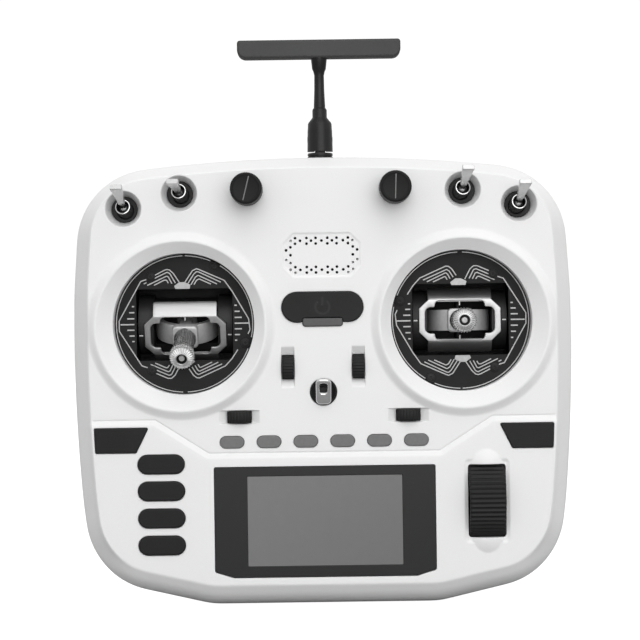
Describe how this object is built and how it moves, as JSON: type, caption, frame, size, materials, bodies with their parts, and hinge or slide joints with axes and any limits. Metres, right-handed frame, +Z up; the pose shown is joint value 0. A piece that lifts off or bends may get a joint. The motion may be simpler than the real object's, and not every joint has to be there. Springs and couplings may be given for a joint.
{
  "type": "handheld radio transmitter controller",
  "caption": "Handheld radio control transmitter with gimbal sticks, toggle switches, dials, trims, keys, scroll wheel, display and a folding T antenna.",
  "frame": {"origin": "centre of the flat bottom edge on which the radio stands", "axes": "+X to the operator's right, +Y into the case from the face, +Z up towards the antenna"},
  "size_m": [0.199, 0.0748, 0.2265],
  "materials": {
    "white_shell": "fine satin moulded",
    "grip_rubber": "matt",
    "key_black": "satin",
    "grey_key": "satin",
    "light_bar": "frosted",
    "window": "polished",
    "lcd": "satin",
    "circuit_board": "solder mask",
    "black_plastic": "satin",
    "speaker_black": "matt",
    "cell_wrap": "shrink film",
    "screw_black": "black oxide",
    "chrome": "polished",
    "gimbal_board": "satin",
    "gimbal_black": "satin",
    "saddle_aluminium": "fine satin",
    "block_aluminium": "satin grey",
    "stick_aluminium": "machined",
    "steel": "bright",
    "dial_black": "satin",
    "brass": "machined",
    "antenna_black": "satin",
    "antenna_grey": "satin",
    "pot_body": "matt"
  },
  "bodies": {
    "case": {"front_shell": "white_shell", "rear_shell": "white_shell", "grip_pads": "grip_rubber", "screws": "screw_black", "power_light_bar": "light_bar", "display_window": "window", "lcd_module": "lcd", "main_board": "circuit_board", "speaker": "speaker_black", "battery_cells": "cell_wrap", "strap_eyelet": "chrome", "eyelet_cup": "black_plastic", "gimbal_faceplates": "gimbal_board", "gimbal_housings": "gimbal_black", "gimbal_bearings": "steel", "gimbal_springs": "steel", "gimbal_sensors": "circuit_board", "toggle_switches": "chrome", "toggle_discs": "black_plastic", "dial_pots": "pot_body", "antenna_jack": "brass"},
    "left_yoke": {"left_yoke_frame": "gimbal_black", "left_saddle": "saddle_aluminium"},
    "left_stick": {"left_stick_block": "block_aluminium", "left_stick_end": "stick_aluminium"},
    "right_yoke": {"right_yoke_frame": "gimbal_black", "right_saddle": "saddle_aluminium"},
    "right_stick": {"right_stick_block": "block_aluminium", "right_stick_end": "stick_aluminium"},
    "toggle_lever_1": {"toggle_lever_1": "chrome"},
    "toggle_lever_2": {"toggle_lever_2": "chrome"},
    "toggle_lever_3": {"toggle_lever_3": "chrome"},
    "toggle_lever_4": {"toggle_lever_4": "chrome"},
    "antenna_base": {"antenna_base": "antenna_black"},
    "antenna": {"antenna_mast": "antenna_black", "antenna_head": "antenna_grey"},
    "left_dial": {"left_dial_knob": "dial_black"},
    "right_dial": {"right_dial_knob": "dial_black"},
    "left_vertical_trim": {"left_vertical_trim": "key_black"},
    "right_vertical_trim": {"right_vertical_trim": "key_black"},
    "left_horizontal_trim": {"left_horizontal_trim": "key_black"},
    "right_horizontal_trim": {"right_horizontal_trim": "key_black"},
    "wheel_carriage": {"wheel_carriage": "black_plastic"},
    "scroll_wheel": {"scroll_wheel": "key_black"},
    "battery_door": {"battery_door": "white_shell"},
    "module_cover": {"module_cover": "white_shell"},
    "power_button": {"power_button": "key_black"},
    "left_page_key": {"left_page_key": "key_black"},
    "right_page_key": {"right_page_key": "key_black"},
    "menu_button_1": {"menu_button_1": "key_black"},
    "menu_button_2": {"menu_button_2": "key_black"},
    "menu_button_3": {"menu_button_3": "key_black"},
    "menu_button_4": {"menu_button_4": "key_black"},
    "function_button_1": {"function_button_1": "grey_key"},
    "function_button_2": {"function_button_2": "grey_key"},
    "function_button_3": {"function_button_3": "grey_key"},
    "function_button_4": {"function_button_4": "grey_key"},
    "function_button_5": {"function_button_5": "grey_key"},
    "function_button_6": {"function_button_6": "grey_key"}
  },
  "joints": [
    {"name": "left_stick_up_down", "type": "hinge", "parent": "case", "child": "left_yoke", "pos_m": [-0.0545, 0.0025, 0.1122], "axis": [1, 0, 0], "range_deg": [-44, 0]},
    {"name": "left_stick_left_right", "type": "hinge", "parent": "left_yoke", "child": "left_stick", "pos_m": [-0.0545, 0.0025, 0.1122], "axis": [0, -0.3746, 0.9272], "range_deg": [-22, 22], "stiffness_Nm_per_rad": 0.03},
    {"name": "right_stick_up_down", "type": "hinge", "parent": "case", "child": "right_yoke", "pos_m": [0.0545, 0.0025, 0.1122], "axis": [1, 0, 0], "range_deg": [-22, 22], "stiffness_Nm_per_rad": 0.03},
    {"name": "right_stick_left_right", "type": "hinge", "parent": "right_yoke", "child": "right_stick", "pos_m": [0.0545, 0.0025, 0.1122], "axis": [0, 0, 1], "range_deg": [-22, 22], "stiffness_Nm_per_rad": 0.03},
    {"name": "left_outer_toggle", "type": "hinge", "parent": "case", "child": "toggle_lever_1", "pos_m": [-0.07719, -0.01808, 0.15768], "axis": [0.9945, -0.1045, 0], "range_deg": [0, 30]},
    {"name": "left_inner_toggle", "type": "hinge", "parent": "case", "child": "toggle_lever_2", "pos_m": [-0.05529, -0.01808, 0.16348], "axis": [0.9945, -0.1045, 0], "range_deg": [-15, 15]},
    {"name": "right_inner_toggle", "type": "hinge", "parent": "case", "child": "toggle_lever_3", "pos_m": [0.05529, -0.01808, 0.16348], "axis": [0.9945, 0.1045, 0], "range_deg": [0, 30]},
    {"name": "right_outer_toggle", "type": "hinge", "parent": "case", "child": "toggle_lever_4", "pos_m": [0.07719, -0.01808, 0.15768], "axis": [0.9945, 0.1045, 0], "range_deg": [0, 30]},
    {"name": "antenna_swivel", "type": "hinge", "parent": "case", "child": "antenna_base", "pos_m": [0, 0.009, 0.18], "axis": [0, 0, 1], "range_deg": [-90, 90]},
    {"name": "antenna_fold", "type": "hinge", "parent": "antenna_base", "child": "antenna", "pos_m": [0, 0.009, 0.1863], "axis": [-1, 0, 0], "range_deg": [0, 90]},
    {"name": "left_dial", "type": "hinge", "parent": "case", "child": "left_dial", "pos_m": [-0.02885, -0.026, 0.1641], "axis": [0, -1, 0], "range_deg": [-150, 150]},
    {"name": "right_dial", "type": "hinge", "parent": "case", "child": "right_dial", "pos_m": [0.02885, -0.026, 0.1641], "axis": [0, -1, 0], "range_deg": [-150, 150]},
    {"name": "left_vertical_trim", "type": "hinge", "parent": "case", "child": "left_vertical_trim", "pos_m": [-0.0138, -0.016, 0.0947], "axis": [1, 0, 0], "range_deg": [-10, 10], "stiffness_Nm_per_rad": 0.02},
    {"name": "right_vertical_trim", "type": "hinge", "parent": "case", "child": "right_vertical_trim", "pos_m": [0.0138, -0.016, 0.0947], "axis": [1, 0, 0], "range_deg": [-10, 10], "stiffness_Nm_per_rad": 0.02},
    {"name": "left_horizontal_trim", "type": "hinge", "parent": "case", "child": "left_horizontal_trim", "pos_m": [-0.0331, -0.016, 0.0754], "axis": [0, 0, 1], "range_deg": [-10, 10], "stiffness_Nm_per_rad": 0.02},
    {"name": "right_horizontal_trim", "type": "hinge", "parent": "case", "child": "right_horizontal_trim", "pos_m": [0.0331, -0.016, 0.0754], "axis": [0, 0, 1], "range_deg": [-10, 10], "stiffness_Nm_per_rad": 0.02},
    {"name": "wheel_press", "type": "slide", "parent": "case", "child": "wheel_carriage", "axis": [0, 1, 0], "range_m": [0, 0.0006], "stiffness_N_per_m": 1500},
    {"name": "wheel_spin", "type": "hinge", "parent": "wheel_carriage", "child": "scroll_wheel", "pos_m": [0.0634, -0.0075, 0.0415], "axis": [1, 0, 0], "continuous": true},
    {"name": "battery_door_slide", "type": "slide", "parent": "case", "child": "battery_door", "axis": [0, 0, -1], "range_m": [0, 0.008]},
    {"name": "module_cover_pull", "type": "slide", "parent": "case", "child": "module_cover", "axis": [0, 1, 0], "range_m": [0, 0.012]},
    {"name": "power_press", "type": "slide", "parent": "case", "child": "power_button", "axis": [0, 1, 0], "range_m": [0, 0.0006], "stiffness_N_per_m": 1500},
    {"name": "left_page_press", "type": "slide", "parent": "case", "child": "left_page_key", "axis": [0, 1, 0], "range_m": [0, 0.0006], "stiffness_N_per_m": 1500},
    {"name": "right_page_press", "type": "slide", "parent": "case", "child": "right_page_key", "axis": [0, 1, 0], "range_m": [0, 0.0006], "stiffness_N_per_m": 1500},
    {"name": "menu_press_1", "type": "slide", "parent": "case", "child": "menu_button_1", "axis": [0, 1, 0], "range_m": [0, 0.0006], "stiffness_N_per_m": 1500},
    {"name": "menu_press_2", "type": "slide", "parent": "case", "child": "menu_button_2", "axis": [0, 1, 0], "range_m": [0, 0.0006], "stiffness_N_per_m": 1500},
    {"name": "menu_press_3", "type": "slide", "parent": "case", "child": "menu_button_3", "axis": [0, 1, 0], "range_m": [0, 0.0006], "stiffness_N_per_m": 1500},
    {"name": "menu_press_4", "type": "slide", "parent": "case", "child": "menu_button_4", "axis": [0, 1, 0], "range_m": [0, 0.0006], "stiffness_N_per_m": 1500},
    {"name": "function_press_1", "type": "slide", "parent": "case", "child": "function_button_1", "axis": [0, 1, 0], "range_m": [0, 0.0006], "stiffness_N_per_m": 1500},
    {"name": "function_press_2", "type": "slide", "parent": "case", "child": "function_button_2", "axis": [0, 1, 0], "range_m": [0, 0.0006], "stiffness_N_per_m": 1500},
    {"name": "function_press_3", "type": "slide", "parent": "case", "child": "function_button_3", "axis": [0, 1, 0], "range_m": [0, 0.0006], "stiffness_N_per_m": 1500},
    {"name": "function_press_4", "type": "slide", "parent": "case", "child": "function_button_4", "axis": [0, 1, 0], "range_m": [0, 0.0006], "stiffness_N_per_m": 1500},
    {"name": "function_press_5", "type": "slide", "parent": "case", "child": "function_button_5", "axis": [0, 1, 0], "range_m": [0, 0.0006], "stiffness_N_per_m": 1500},
    {"name": "function_press_6", "type": "slide", "parent": "case", "child": "function_button_6", "axis": [0, 1, 0], "range_m": [0, 0.0006], "stiffness_N_per_m": 1500}
  ]
}
